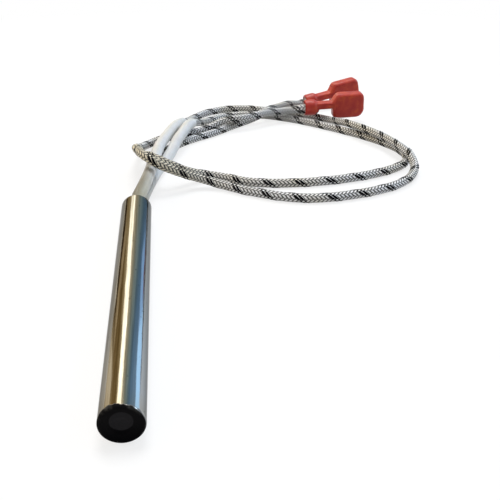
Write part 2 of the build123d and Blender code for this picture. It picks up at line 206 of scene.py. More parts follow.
# %% Cross directions
def travelling_frames(points):
    """Two cross directions at each point, with no twist about the line."""
    tangents = np.gradient(points, axis=0)
    tangents /= np.linalg.norm(tangents, axis=1)[:, None]
    first = np.cross(tangents[0], (0.0, 0.0, 1.0))
    sides = [first / np.linalg.norm(first)]
    for tangent in tangents[1:]:
        side = sides[-1] - tangent * np.dot(sides[-1], tangent)
        sides.append(side / np.linalg.norm(side))
    sides = np.array(sides)
    return sides, np.cross(tangents, sides)


def ring_skin(centres, radius, side_count):
    """Rings of vertices round a line, with one radius for all or one for each vertex."""
    sides, ups = travelling_frames(centres)
    angles = np.linspace(0, 2 * np.pi, side_count, endpoint=False)[None, :, None]
    outward = sides[:, None, :] * np.cos(angles) + ups[:, None, :] * np.sin(angles)
    radius = np.broadcast_to(radius, (len(centres), side_count))
    return centres[:, None, :] + outward * radius[:, :, None] * MM


# %% A mesh over rings of vertices
TUBE_MAP = "braid"


def ring_mesh(name, rings, along_uv=None):
    """A skin over the rings, with a UV map of turns round and metres along."""
    ring_count, side_count = rings.shape[:2]
    mesh = bpy.data.meshes.new(name)
    mesh.vertices.add(ring_count * side_count)
    mesh.vertices.foreach_set("co", rings.reshape(-1).astype(np.float32))
    row = np.arange(ring_count - 1)[:, None] * side_count
    column = np.arange(side_count)[None, :]
    following = (column + 1) % side_count
    this_ring = [row + column, row + following]
    next_ring = [row + side_count + following, row + side_count + column]
    quads = np.stack(this_ring + next_ring, axis=2)
    mesh.loops.add(quads.size)
    mesh.loops.foreach_set("vertex_index", quads.reshape(-1).astype(np.int32))
    mesh.polygons.add(quads.size // 4)
    mesh.polygons.foreach_set("loop_start", np.arange(0, quads.size, 4, dtype=np.int32))
    mesh.polygons.foreach_set("use_smooth", np.ones(quads.size // 4, dtype=bool))
    if along_uv is not None:
        turns = np.stack([column, column + 1, column + 1, column], axis=2)
        turns = np.broadcast_to(turns, quads.shape)
        here, onward = along_uv[:-1], along_uv[1:]
        lengths = np.stack([here, here, onward, onward], axis=1)
        lengths = np.broadcast_to(lengths[:, None, :], quads.shape)
        uv = np.stack([turns / side_count, lengths], axis=3)
        layer = mesh.uv_layers.new(name=TUBE_MAP)
        layer.data.foreach_set("uv", uv.reshape(-1).astype(np.float32))
    mesh.update(calc_edges=True)
    mesh.validate()
    print(f"{name}: {2 * len(mesh.polygons)} triangles")
    return placed(name, mesh)


# %% [markdown]
# ## The braid
# The covering is braided glass yarn. Eight carriers run round the wire one way and eight the
# other way, and each passes over two of the other set and under the next two. The stitches so
# lie in rows along the lead, leaning left in one row and right in the next, which the eye
# reads as chevrons. Two neighbouring carriers lay a black yarn, which stands a little proud.
# Sixteen swept yarns would be very many faces, and bump alone would leave the outline smooth.
# One skin with the yarns' height in it catches the light and breaks the outline.

# %% The braid's measures
LEAD_DIA = 3.3
BRAID_PITCH = 11.3
CARRIERS_EACH_WAY = 8
FLOAT_OVER = 2
FIRST_FLOAT_MIDDLE = FLOAT_OVER / 2
SECOND_FLOAT_MIDDLE = FLOAT_OVER * 3 / 2
YARN_SWING = 0.5
YARN_WIDTH = 0.9
TRACED_CARRIERS = 2
TRACED_PROUD = 0.42
print(f"{2 * CARRIERS_EACH_WAY} carriers, one turn in {BRAID_PITCH} mm")


def yarn_height(own, other, float_middle):
    """Height of one set of yarns: it swings over and under the other set, and has a crown."""
    carrier = np.floor(own)
    lift = (1 + np.cos(np.pi / FLOAT_OVER * (other + carrier - float_middle))) / 2
    crown = 1 - ((2 * (own - carrier) - 1) / YARN_WIDTH) ** 2
    return YARN_SWING * lift + (1 - YARN_SWING) * crown


def braid_relief(turns, lengths):
    """Height of the outermost yarn, up to 1, where turns run round and lengths run along."""
    first = CARRIERS_EACH_WAY * (turns - lengths / BRAID_PITCH)
    second = CARRIERS_EACH_WAY * (turns + lengths / BRAID_PITCH)
    traced = np.floor(first) % CARRIERS_EACH_WAY < TRACED_CARRIERS
    return np.maximum(
        yarn_height(first, second, FIRST_FLOAT_MIDDLE) + TRACED_PROUD * traced,
        yarn_height(second, first, SECOND_FLOAT_MIDDLE),
    )


# %% The braided leads
BRAID_RELIEF = 0.30
RELIEF_TOP = 1.15
SAMPLES_ROUND = 6
SAMPLES_ALONG = 5
PATTERN_START = {1: 4.0, 2: 1.5}
FLARE_DIA = 4.3
FLARE_FULL = 5.5
FLARE_LEN = 8.5


def braided_lead(number):
    """The braid from the bushing to the barrel, where it is pushed back and flares a little."""
    points, along = lead_lines[number]
    ring_gap = BRAID_PITCH / CARRIERS_EACH_WAY / SAMPLES_ALONG * MM
    places = np.arange(0, along[-1], ring_gap)
    side_count = CARRIERS_EACH_WAY * SAMPLES_ROUND
    turns = (np.arange(side_count) + 0.5) / side_count
    pattern = places - PATTERN_START[number] * MM
    relief = braid_relief(turns[None, :], pattern[:, None] / MM)
    to_end = (along[-1] - places[:, None]) / MM
    opening = np.clip((FLARE_LEN - to_end) / (FLARE_LEN - FLARE_FULL), 0, 1)
    flare = (FLARE_DIA - LEAD_DIA) / 2 * opening ** 2
    radius = LEAD_DIA / 2 + flare - BRAID_RELIEF * (1 - np.minimum(relief, RELIEF_TOP))
    rings = ring_skin(resample(points, along, places), radius, side_count)
    return ring_mesh(f"braided_lead_{number}", rings, along_uv=pattern)


braided_leads = {number: braided_lead(number) for number in LEAD_ROUTES}

# %% [markdown]
# ## The bare ends of the wires
# Inside the bushing each lead goes on as bare wire to its splice, and inside the connector to
# the clip's crimp. The strands of the wire could be modelled, but both stretches are hidden,
# so a round bar does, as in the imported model.

# %% Bare conductors
CONDUCTOR_DIA = 0.96
CONDUCTOR_SIDES = 16
CONDUCTOR_RINGS = 24
CONDUCTOR_SPACING = 0.1
END_CAP_LEN = 0.02
END_CAP_RADIUS = 0.01
SPLICE_DEPTH = 2.0
CLIP_SHARE = 0.35


def middle_of(name):
    """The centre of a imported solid's box."""
    low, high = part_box(name)
    return (low + high) / 2


def bare_wire(name, corners):
    """A round wire through a few corners, with closed ends."""
    guide = curve_through([tuple(corner / MM) for corner in corners], name + "_line")
    points, along = points_along(guide, CONDUCTOR_SPACING * MM)
    bpy.data.objects.remove(guide)
    places = np.linspace(0, along[-1], CONDUCTOR_RINGS)
    places[[1, -2]] = places[[0, -1]] + np.array([END_CAP_LEN, -END_CAP_LEN]) * MM
    radius = np.full((CONDUCTOR_RINGS, 1), CONDUCTOR_DIA / 2)
    radius[[0, -1]] = END_CAP_RADIUS
    return ring_mesh(name, ring_skin(resample(points, along, places), radius, CONDUCTOR_SIDES))


bare_wires = []
for number in LEAD_ROUTES:
    points = lead_lines[number][0]
    lead_start, lead_end = Vector(points[0]), Vector(points[-1])
    splice_end = middle_of(f"lead_splice_{number}")
    splice_end.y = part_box(f"lead_splice_{number}")[1].y
    in_splice = splice_end - Vector((0, SPLICE_DEPTH * MM, 0))
    bushing_hole = lead_start.copy()
    bushing_hole.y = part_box("lead_end_bushing")[0].y
    in_rod = [in_splice, splice_end, bushing_hole, lead_start]
    clip = middle_of(f"receptacle_{number}")
    in_connector = [lead_end.lerp(clip, share) for share in (0, CLIP_SHARE / 2, CLIP_SHARE)]
    bare_wires.append(bare_wire(f"bare_wire_{number}_in_rod", in_rod))
    bare_wires.append(bare_wire(f"bare_wire_{number}_in_connector", in_connector))

# %% [markdown]
# ## The sleeves
# A smooth sleeve of varnished glass fibre slides over each lead where it leaves the hot rod.
# A curve with a bevel would give the outside only. Rings that run out along the wall and back
# through the bore make a real tube, so its far end shows a clean cut rim round the braid.

# %% Sleeve tubes
SLEEVE_DIA = 4.3
SLEEVE_BORE = 3.42
SLEEVE_SIDES = 48
SLEEVE_RINGS = 320
SLEEVE_CORNERS = 11
SLEEVE_RIM_ROUND = 0.15


def sleeve_tube(number):
    """A sleeve from the rod's open end to half-way between two of the route's points."""
    points, along = lead_lines[number]
    route = np.array(LEAD_ROUTES[number]) * MM
    cut_place = (route[SLEEVE_CORNERS - 1] + route[SLEEVE_CORNERS]) / 2
    start = along[np.argmin(np.abs(points[:, 1] - OPEN_END_Y * MM))]
    end = along[np.argmin(np.linalg.norm(points - cut_place, axis=1))]
    places = np.linspace(start, end, SLEEVE_RINGS)
    centres = resample(points, along, places)
    outer_radius = np.full((SLEEVE_RINGS, 1), SLEEVE_DIA / 2)
    outer_radius[[0, -1]] -= SLEEVE_RIM_ROUND
    outside = ring_skin(centres, outer_radius, SLEEVE_SIDES)
    inside = ring_skin(centres, SLEEVE_BORE / 2, SLEEVE_SIDES)
    rings = np.concatenate([outside, inside[::-1], outside[:1]])
    lengths = np.concatenate([places, places[::-1], places[:1]])
    print(f"sleeve {number}: {(end - start) / MM:.1f} mm long")
    return ring_mesh(f"sleeve_tube_{number}", rings, along_uv=lengths)


sleeve_tubes = {number: sleeve_tube(number) for number in LEAD_ROUTES}

# %% [markdown]
# ## The sheath and the end disc
# The rod is a drawn tube with a welded end. Both are round, so each is a profile turned about
# the rod's axis. A screw modifier would do the same, but rings keep to the helpers above.
# Many narrow sides keep the long reflections clean, and the welded end gets the soft rounded
# edge that the welding leaves. At a sharp corner a second ring close by keeps it crisp.

# %% Profiles and turned pieces
TURNED_SIDES = 192


def turned(name, profile, axis_height):
    """A ring of each profile point: its length along the rod and its radius, in millimetres."""
    angles = np.linspace(0, 2 * np.pi, TURNED_SIDES, endpoint=False)
    rings = np.array([
        [(radius * math.sin(a), y, axis_height + radius * math.cos(a)) for a in angles]
        for y, radius in profile
    ])
    return ring_mesh(name, rings * MM)


def arc(centre_y, centre_r, radius, start, stop, steps):
    """Profile points on a quarter round, with angles in degrees from the rod's direction."""
    angles = np.radians(np.linspace(start, stop, steps))
    return [(centre_y + radius * math.cos(a), centre_r + radius * math.sin(a)) for a in angles]


# %% The rod
sheath_low, sheath_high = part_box("sheath_tube")
ROD_DIA = (sheath_high.x - sheath_low.x) / MM
ROD_RADIUS = ROD_DIA / 2
ROD_AXIS_Z = (sheath_high.z + sheath_low.z) / 2 / MM
SHEATH_WALL = 0.7
BORE_RADIUS = ROD_RADIUS - SHEATH_WALL
WELD_Y = sheath_low.y / MM
TIP_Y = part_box("end_disc")[0].y / MM
MOUTH_ROUND = 0.25
TIP_ROUND = 0.7
ROUND_LEAD_IN = 0.1
CRISP_CORNER = 0.002
AXIS_GAP = 0.01
SHEATH_RINGS = 60
MOUTH_RINGS = 6
TIP_RINGS = 10
FACE_RINGS = 8
DISH_RINGS = 6
DISH_DIA = 3.6
DISH_DEPTH = 0.2
DISH_EDGE = 0.25

mouth_y = OPEN_END_Y - MOUTH_ROUND
sheath_profile = (
    [(WELD_Y, BORE_RADIUS), (WELD_Y, ROD_RADIUS), (WELD_Y + CRISP_CORNER, ROD_RADIUS)]
    + [(y, ROD_RADIUS) for y in np.linspace(WELD_Y + ROUND_LEAD_IN, mouth_y, SHEATH_RINGS)]
    + arc(mouth_y, ROD_RADIUS - MOUTH_ROUND, MOUTH_ROUND, 80, 0, MOUTH_RINGS)
    + [(OPEN_END_Y, BORE_RADIUS + MOUTH_ROUND), (mouth_y, BORE_RADIUS), (WELD_Y, BORE_RADIUS)]
)
sheath = turned("sheath", sheath_profile, ROD_AXIS_Z)

flat_from = ROD_RADIUS - TIP_ROUND - 2 * ROUND_LEAD_IN
dish_from = DISH_DIA / 2 - DISH_EDGE
disc_profile = (
    [(WELD_Y, AXIS_GAP), (WELD_Y, ROD_RADIUS), (WELD_Y - CRISP_CORNER, ROD_RADIUS)]
    + [(TIP_Y + TIP_ROUND + ROUND_LEAD_IN, ROD_RADIUS)]
    + arc(TIP_Y + TIP_ROUND, ROD_RADIUS - TIP_ROUND, TIP_ROUND, 90, 180, TIP_RINGS)
    + [(TIP_Y, r) for r in np.linspace(flat_from, DISH_DIA / 2 + DISH_EDGE, FACE_RINGS)]
    + [(TIP_Y + DISH_DEPTH, r) for r in np.linspace(dish_from, AXIS_GAP, DISH_RINGS)]
)
welded_end = turned("welded_end", disc_profile, ROD_AXIS_Z)
print(f"rod {ROD_DIA:.3f} mm across, sheath from {WELD_Y:.1f} to {OPEN_END_Y:.1f} mm")

# %% [markdown]
# ## The connector housings
# Each housing is one soft-edged nylon moulding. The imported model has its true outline, bore
# and cavity with plain chamfers. Bevels on those edges would run into one another at the
# corners. A fine remesh of the solid, smoothed a little, gives every edge the small even
# radius that a moulding has, and keeps each size where it was.

# %% Moulded housings
HOUSING_VOXEL = 0.16
HOUSING_SOFTENING = 0.5
HOUSING_SMOOTHING = 34
SAME_CORNER = 0.001


def applied(piece):
    """The piece with its modifiers turned into its mesh."""
    bpy.context.view_layer.update()
    shaped = piece.evaluated_get(bpy.context.evaluated_depsgraph_get())
    mesh = bpy.data.meshes.new_from_object(shaped)
    piece.modifiers.clear()
    piece.data = mesh
    mesh.name = piece.name
    print(f"{mesh.name}: {2 * len(mesh.polygons)} triangles")
    return piece


def moulded_housing(number):
    """A smoothed copy of a packed housing."""
    solid = frame["nodes"][f"terminal_housing_{number}"]
    mesh = solid.data.copy()
    mesh.name = f"moulded_housing_{number}"
    piece = placed(mesh.name, mesh)
    weld = bmesh.new()
    weld.from_mesh(mesh)
    bmesh.ops.remove_doubles(weld, verts=weld.verts, dist=SAME_CORNER * MM)
    weld.to_mesh(mesh)
    weld.free()
    remesh = piece.modifiers.new("remesh", "REMESH")
    remesh.mode = "VOXEL"
    remesh.voxel_size = HOUSING_VOXEL * MM
    remesh.use_smooth_shade = True
    soften = piece.modifiers.new("soften", "SMOOTH")
    soften.factor = HOUSING_SOFTENING
    soften.iterations = HOUSING_SMOOTHING
    return applied(piece)


housings = {number: moulded_housing(number) for number in LEAD_ROUTES}

# %% [markdown]
# ## Small helpers for materials
# Every finish here is worked out by shader nodes, from a place on the object or from the
# braid's own map. A picture wrapped round a piece would blur close up and would need a flat
# map of that piece. A few short helpers keep the long trees of nodes readable. The result
# of a node knows its tree, so only a node with nothing linked to it has to be told.

# %% Nodes and sums
def feed(made, **inputs):
    """Sets or links the inputs of a node, by name with _ for a space, or by number, as n0."""
    for key, value in inputs.items():
        by_number = key[0] == "n" and key[1:].isdigit()
        socket = made.inputs[int(key[1:]) if by_number else key.replace("_", " ")]
        if isinstance(value, bpy.types.NodeSocket):
            made.id_data.links.new(value, socket)
        else:
            socket.default_value = value


def node(kind, settings=None, tree=None, **inputs):
    """A new node with its settings and inputs, in the tree that its linked inputs come from."""
    for value in inputs.values():
        if isinstance(value, bpy.types.NodeSocket):
            tree = value.id_data
    made = tree.nodes.new(f"ShaderNode{kind}")
    for key, value in (settings or {}).items():
        setattr(made, key, value)
    feed(made, **inputs)
    return made


def new_finish(name):
    """A material with its shader and the place on the object."""
    finish = bpy.data.materials.new(name)
    finish.use_nodes = True
    tree = finish.node_tree
    print("finish:", name)
    return finish, tree.nodes["Principled BSDF"], node("TexCoord", tree=tree).outputs["Object"]


def math_of(operation, first, second=0.0):
    """The result of one arithmetic step."""
    return node("Math", {"operation": operation}, n0=first, n1=second).outputs[0]


def times(first, second):
    return math_of("MULTIPLY", first, second)


def plus(first, second):
    return math_of("ADD", first, second)


def minus(first, second):
    return math_of("SUBTRACT", first, second)


def larger(first, second):
    return math_of("MAXIMUM", first, second)


def wave_of(kind, value, rate):
    """The sine or cosine of a value at a rate in radians."""
    return math_of(kind, times(value, rate))


# %% Places, colours and relief
def fade(value, start, stop, before=0.0, after=1.0):
    """Goes from before to after while the value goes from start to stop."""
    return node("MapRange", n0=value, n1=start, n2=stop, n3=before, n4=after).outputs[0]


def axes_of(place):
    """The parts X, Y and Z of a place."""
    return node("SeparateXYZ", Vector=place).outputs


def distance_of(place, centre):
    """The distance of a place from a centre."""
    return node("VectorMath", {"operation": "DISTANCE"}, n0=place, n1=centre).outputs["Value"]


def noise(place, scale, along=1, detail=3.0, roughness=0.55):
    """Noise of a scale in cells per millimetre, of which only a share lies along the rod."""
    scales = tuple(scale * share / MM for share in (1, along, 1))
    mapped = node("Mapping", Vector=place, Scale=scales).outputs[0]
    made = node("TexNoise", Vector=mapped, Scale=1.0, Detail=detail, Roughness=roughness)
    return made.outputs["Fac"]


def ramp(factor, stops):
    """Colours by a factor, given as place and linear colour."""
    made = node("ValToRGB", Fac=factor)
    elements = made.color_ramp.elements
    while len(elements) < len(stops):
        elements.new(0.5)
    for element, (at, colour) in zip(elements, stops):
        element.position = at
        element.color = (*colour, 1)
    return made.outputs["Color"]


def opaque(colour):
    """A colour with its fourth number. The result of a node stays as it is."""
    return colour if isinstance(colour, bpy.types.NodeSocket) else (*colour, 1)


def mixed(factor, first, second):
    """Two colours mixed."""
    colours = {"n6": opaque(first), "n7": opaque(second)}
    return node("Mix", {"data_type": "RGBA"}, n0=factor, **colours).outputs[2]


def bump(shader, height, depth):
    """Fine relief of a depth in millimetres."""
    relief = node("Bump", Height=height, Distance=depth * MM, Strength=1.0)
    feed(shader, Normal=relief.outputs[0])


def wear_finish(finish, *pieces):
    """The pieces take one finish all over."""
    for piece in pieces:
        piece.data.materials.clear()
        piece.data.materials.append(finish)


# %% [markdown]
# ## Heated steel
# The rod is polished along its length, so its scratches are long and very fine, and its
# reflections stay sharp across the rod. The heat has left a thin straw tint in patches, and a
# few dark specks. Toward the right the steel is tinted blue, a painted blue reflection. One
# plain grey metal would look new. So a noise that is stretched along the rod makes the
# scratches and streaks, and a wider one the tint.

# %% Streaks and tint
STEEL_TONES = [
    (0.32, (0.26, 0.24, 0.205)),
    (0.50, (0.40, 0.38, 0.34)),
    (0.68, (0.53, 0.51, 0.47)),
]
# Painted reflection: the blue that the right side of the rod takes.
PAINTED_BLUE_REFLECTION = (0.41, 0.455, 0.50)
STRAW = (0.42, 0.34, 0.22)
TINT_SCALE = 0.2
STRAW_SHARE = 0.30
BLUE_REFLECTION_SHARE = 0.85
BLUE_REFLECTION_FROM_AXIS = 0.6
SPECK_COLOUR = (0.06, 0.06, 0.055)
SPECK_SCALE = 1.1
SPECK_EDGES = (0.70, 0.76)
SPECK_SHARE = 0.7


def streaked_steel(place, streaks):
    """Polished steel with specks, a straw tint, and a painted blue reflection toward the right.
    """
    tint = noise(place, TINT_SCALE, 0.15)
    straw = mixed(times(tint, STRAW_SHARE), ramp(streaks, STEEL_TONES), STRAW)
    sideways = axes_of(place)["X"]
    # Painted reflection: the steel turns blue toward the right side of the rod.
    blue = fade(sideways, 0.0, BLUE_REFLECTION_FROM_AXIS * ROD_RADIUS * MM, 0.0, BLUE_REFLECTION_SHARE)
    specks = fade(noise(place, SPECK_SCALE, 0.6, detail=2), *SPECK_EDGES, 0.0, SPECK_SHARE)
    return mixed(specks, mixed(blue, straw, PAINTED_BLUE_REFLECTION), SPECK_COLOUR)


# %% [markdown]
# ## The burnt tip
# The tip is burnt black, with a ragged edge just behind its face. The place along the rod,
# moved to and fro by a noise, tells what is burnt. Painting the end disc black would be
# simpler, but it would stop at the weld in a clean line. Here the tube and the disc share the
# finish, so the burn runs over their joint without a step.

# %% Where the steel is burnt
BURN_EDGE = 0.52
RAGGED_SCALE = 0.40
BURN_RAGGED = 2.4
BURN_LEAN = 0.1
BURN_FADE = 0.25
LEAST_BURN = 0.4
HEAT_REACH = 6.0


def burn_mask(place):
    """1 where the tip is burnt, further back on the left, and a heat that fades behind it."""
    axes = axes_of(place)
    ragged = noise(place, RAGGED_SCALE, 0.3, detail=4)
    reach = times(minus(ragged, 0.5), BURN_RAGGED * MM)
    reach = plus(reach, times(axes["X"], -BURN_LEAN))
    reach = larger(reach, (LEAST_BURN - 1) * BURN_EDGE * MM)
    shifted = minus(axes["Y"], reach)
    burnt_to = (TIP_Y + BURN_EDGE) * MM
    burn = fade(shifted, burnt_to, burnt_to + BURN_FADE * MM, 1.0, 0.0)
    heat = fade(shifted, burnt_to, burnt_to + HEAT_REACH * MM, 1.0, 0.0)
    return burn, heat


# %% The colour of the scale
LOW_SOOT = (0.0001, 0.0001, 0.0006)
HIGH_SOOT = (0.0065, 0.0060, 0.0065)
FACE_SOOT = (0.0200, 0.0190, 0.0205)
# Painted highlight: the rim of the face is paler in patches, more toward the top.
RIM_HIGHLIGHT_COLOUR = (0.060, 0.057, 0.052)
RIM_HIGHLIGHT_FROM = 0.86
RIM_HIGHLIGHT_PATCHES = (0.46, 0.66)
SOOT_SCALE = 0.5
FACE_PATCH = 2.2
FACE_PATCH_EDGE = 0.2
FACE_PATCH_RAISED = 1.0
LOW_SOOT_TO = -0.8
HIGH_SOOT_FROM = 0.2


def soot_colour(place):
    """Black scale, darker low down, paler in a face patch, with a painted rim highlight."""
    radius = ROD_RADIUS * MM
    patches = noise(place, SOOT_SCALE, detail=4)
    axes = axes_of(place)
    height = minus(axes["Z"], ROD_AXIS_Z * MM)
    flat = node("CombineXYZ", X=axes["X"], Z=height).outputs[0]
    from_axis = distance_of(flat, (0.0, 0.0, 0.0))
    from_patch = distance_of(flat, (0.0, 0.0, FACE_PATCH_RAISED * MM))
    # Painted highlight in patches on the rim, more toward the top.
    edge = fade(from_axis, RIM_HIGHLIGHT_FROM * radius, radius)
    rim_highlight = times(edge, fade(patches, *RIM_HIGHLIGHT_PATCHES))
    patch_end = (FACE_PATCH + FACE_PATCH_EDGE) * MM
    middle = fade(from_patch, FACE_PATCH * MM, patch_end, 1.0, 0.0)
    raised = fade(height, LOW_SOOT_TO * radius, HIGH_SOOT_FROM * radius)
    faced = mixed(middle, mixed(raised, LOW_SOOT, HIGH_SOOT), FACE_SOOT)
    return mixed(times(rim_highlight, raised), faced, RIM_HIGHLIGHT_COLOUR)


# %% The finish of the rod
STREAK_SCALE = 2.4
STREAK_EDGES = (0.3, 0.7)
STREAK_ROUGHNESS = (0.07, 0.13)
SOOT_ROUGHNESS = 0.6
SOOT_SHEEN = 0.03
USUAL_SHEEN = 0.5
SCRATCH_SCALE = 7.0
WAVE_SCALE = 0.45
SCRATCH_SHARE = 0.07
STEEL_RELIEF = 0.045
STEEL_EDGE = (0.39, 0.385, 0.375)
WARMED_COLOUR = (0.30, 0.235, 0.14)
WARMED_SHARE = 0.25
CUT_EDGE_LEN = 0.3
CUT_EDGE_DARK = 0.7


def heated_steel(name):
    """Polished steel with streaks, tint and burn, and a darker cut edge at the open end."""
    finish, shader, place = new_finish(name)
    streaks = noise(place, STREAK_SCALE, 0.02, detail=5, roughness=0.7)
    scratches = noise(place, SCRATCH_SCALE, 0.012)
    waves = noise(place, WAVE_SCALE, 0.12, detail=2)
    burn, heat = burn_mask(place)
    steel = streaked_steel(place, streaks)
    warmed = mixed(times(heat, WARMED_SHARE), steel, WARMED_COLOUR)
    along = axes_of(place)["Y"]
    cut = math_of("GREATER_THAN", along, (OPEN_END_Y - CUT_EDGE_LEN) * MM)
    dark = larger(burn, times(cut, CUT_EDGE_DARK))
    roughness = fade(streaks, *STREAK_EDGES, *STREAK_ROUGHNESS)
    feed(
        shader,
        Base_Color=mixed(dark, warmed, soot_colour(place)),
        Metallic=minus(1.0, dark),
        Roughness=larger(roughness, times(burn, SOOT_ROUGHNESS)),
        Specular_IOR_Level=fade(burn, 0.0, 1.0, USUAL_SHEEN, SOOT_SHEEN),
        Specular_Tint=opaque(STEEL_EDGE),
    )
    bump(shader, plus(times(scratches, SCRATCH_SHARE), waves), STEEL_RELIEF)
    return finish


wear_finish(heated_steel("sheath_steel"), sheath)
wear_finish(heated_steel("burnt_end"), welded_end)

# %% [markdown]
# ## The yarn of the braid
# The yarn's colour follows the braid's map with the same rule as the relief, so the painted
# shade in the grooves between stitches falls exactly on the geometry. A repeated picture of a
# braid would drift off it along half a metre of lead. Two neighbouring carriers are black but
# for a thin white edge, so they show as pairs of short parallel dashes that wind round the
# lead. The yarn is soiled in places, and a painted warm light turns it yellow where it passes
# over the hot sleeves.

# %% The same height, in nodes
def tube_map_of(tree):
    """Turns round a tube as X, and metres along it as Y."""
    return axes_of(node("UVMap", {"uv_map": TUBE_MAP}, tree).outputs[0])


def diagonals(tube_map, per_turn, per_metre):
    """Two counts of cells that lean one way and the other over a tube, from its own map."""
    round_count = times(tube_map["X"], per_turn)
    along_count = times(tube_map["Y"], per_metre)
    return minus(round_count, along_count), plus(round_count, along_count)


def yarn_height_nodes(own, other, float_middle):
    """The same height as in the relief, with the place across the carrier and its number."""
    carrier = math_of("FLOOR", own)
    across = minus(own, carrier)
    place = minus(plus(other, carrier), float_middle)
    wave = wave_of("COSINE", place, math.pi / FLOAT_OVER)
    lift = times(plus(wave, 1.0), YARN_SWING / 2)
    off_middle = times(minus(across, 0.5), 2 / YARN_WIDTH)
    crown = minus(1.0, times(off_middle, off_middle))
    return plus(lift, times(crown, 1 - YARN_SWING)), across, carrier


def braid_height(tree):
    """Height of the outermost yarn, the place across it, and 1 on the traced carriers."""
    per_metre = CARRIERS_EACH_WAY / (BRAID_PITCH * MM)
    first, second = diagonals(tube_map_of(tree), CARRIERS_EACH_WAY, per_metre)
    height_1, across_1, carrier = yarn_height_nodes(first, second, FIRST_FLOAT_MIDDLE)
    height_2, across_2, _ = yarn_height_nodes(second, first, SECOND_FLOAT_MIDDLE)
    place_in_set = math_of("FLOORED_MODULO", carrier, CARRIERS_EACH_WAY)
    traced = math_of("LESS_THAN", place_in_set, TRACED_CARRIERS - 0.5)
    height_1 = plus(height_1, times(traced, TRACED_PROUD))
    on_top = math_of("GREATER_THAN", height_1, height_2)
    across = node("Mix", {"data_type": "FLOAT"}, n0=on_top, n2=across_2, n3=across_1)
    return larger(height_1, height_2), across.outputs[0], times(on_top, traced)


# %% Braid finish
BLACK_SHARE = 0.84
WHITE_YARN = (0.93, 0.94, 0.96)
GREY_YARN = (0.58, 0.58, 0.58)
GREY_SCALE = 1.6
GREY_SHARE = 0.2
# The colour of soiled yarn, which the painted warm light near the rod also uses.
SOIL_AND_WARM_LIGHT_YARN = (0.82, 0.74, 0.54)
SOIL_SCALE = 0.06
SOIL_EDGES = (0.42, 0.70)
SOIL_SHARE = 0.7
# Painted shade: the grooves between stitches are darkened by the yarn's height.
GROOVE_SHADE_COLOUR = (0.022, 0.020, 0.018)
GROOVE_SHADE_FROM = 0.92
GROOVE_SHADE_FULL = 0.66
GROOVE_SHADE_DARK = 0.96
BLACK_YARN = (0.0015, 0.0015, 0.0025)
BLACK_YARN_SHEEN = 0.05
# Painted warm light: the yarn turns yellow round this place, near the rod.
WARM_LIGHT_PLACE = (0.0, OPEN_END_Y + 28, 9.0)
WARM_LIGHT_REACH = 38.0
WARM_LIGHT_CORE = 0.4
WARM_LIGHT_SHARE = 0.9
FILAMENT_RELIEF = 0.05


def yarn_colour(place):
    """White glass yarn, uneven, soiled in places, and with a painted warm light near the rod.
    """
    uneven = noise(place, GREY_SCALE, detail=2)
    soiled = fade(noise(place, SOIL_SCALE), *SOIL_EDGES, 0.0, SOIL_SHARE)
    # Painted warm light round a place near the rod, mixed in with the soil.
    away = distance_of(place, tuple(v * MM for v in WARM_LIGHT_PLACE))
    reach = WARM_LIGHT_REACH * MM
    painted_warm_light = fade(away, WARM_LIGHT_CORE * reach, reach, WARM_LIGHT_SHARE, 0.0)
    yarn = mixed(larger(soiled, painted_warm_light), WHITE_YARN, SOIL_AND_WARM_LIGHT_YARN)
    return mixed(times(uneven, GREY_SHARE), yarn, GREY_YARN)


def braid_finish():
    """Braided glass yarn with painted shade in the grooves, and black dashes."""
    finish, shader, place = new_finish("glass_braid")
    height, across, on_traced = braid_height(finish.node_tree)
    # Painted shade in the grooves, from the yarn's height.
    groove_shade = fade(height, GROOVE_SHADE_FULL, GROOVE_SHADE_FROM, 1.0, 0.0)
    black = times(on_traced, math_of("LESS_THAN", across, BLACK_SHARE))
    yarn = yarn_colour(place)
    groove_shaded = mixed(times(groove_shade, GROOVE_SHADE_DARK), yarn, GROOVE_SHADE_COLOUR)
    feed(
        shader,
        Base_Color=mixed(black, groove_shaded, BLACK_YARN),
        Specular_IOR_Level=fade(black, 0.0, 1.0, USUAL_SHEEN, BLACK_YARN_SHEEN),
        Roughness=0.42,
    )
    filaments = math_of("ABSOLUTE", wave_of("SINE", across, 2 * math.pi))
    bump(shader, filaments, FILAMENT_RELIEF)
    return finish


wear_finish(braid_finish(), *braided_leads.values())

# %% [markdown]
# ## The glaze of the sleeves
# The sleeves are white glass fibre under varnish. Near the rod the heat has turned them
# greyish yellow, and there one side is painted dark, a painted shade. Their own map gives a
# very fine weave with painted shade in its hollows, and the side of the painted shade. A noise
# alone would put that shade anywhere.

# %% Sleeving finish
GLAZE_TONES = [(0.3, (0.80, 0.80, 0.79)), (0.7, (0.88, 0.89, 0.91))]
GLAZE_SCALE = 0.25
HEATED_GLAZE = (0.42, 0.375, 0.225)
HEATED_LEN = 32.0
HEATED_SHARE = 0.95
# Painted shade: one side of each sleeve is darkened near the rod.
SIDE_SHADE_COLOUR = (0.055, 0.040, 0.007)
SHADED_SIDE = 0.66
SIDE_SHADE_EDGES = (0.2, 0.95)
SIDE_SHADE_FULL_HEAT = 0.6
SIDE_SHADE_SHARES = (0.2, 0.95)
WEAVE_SHADE = (0.30, 0.29, 0.26)
WEAVE_SHARE = 0.34
WEAVE_CELLS_ROUND = 30
WEAVE_CELL = 0.45
WEAVE_RELIEF = 0.05


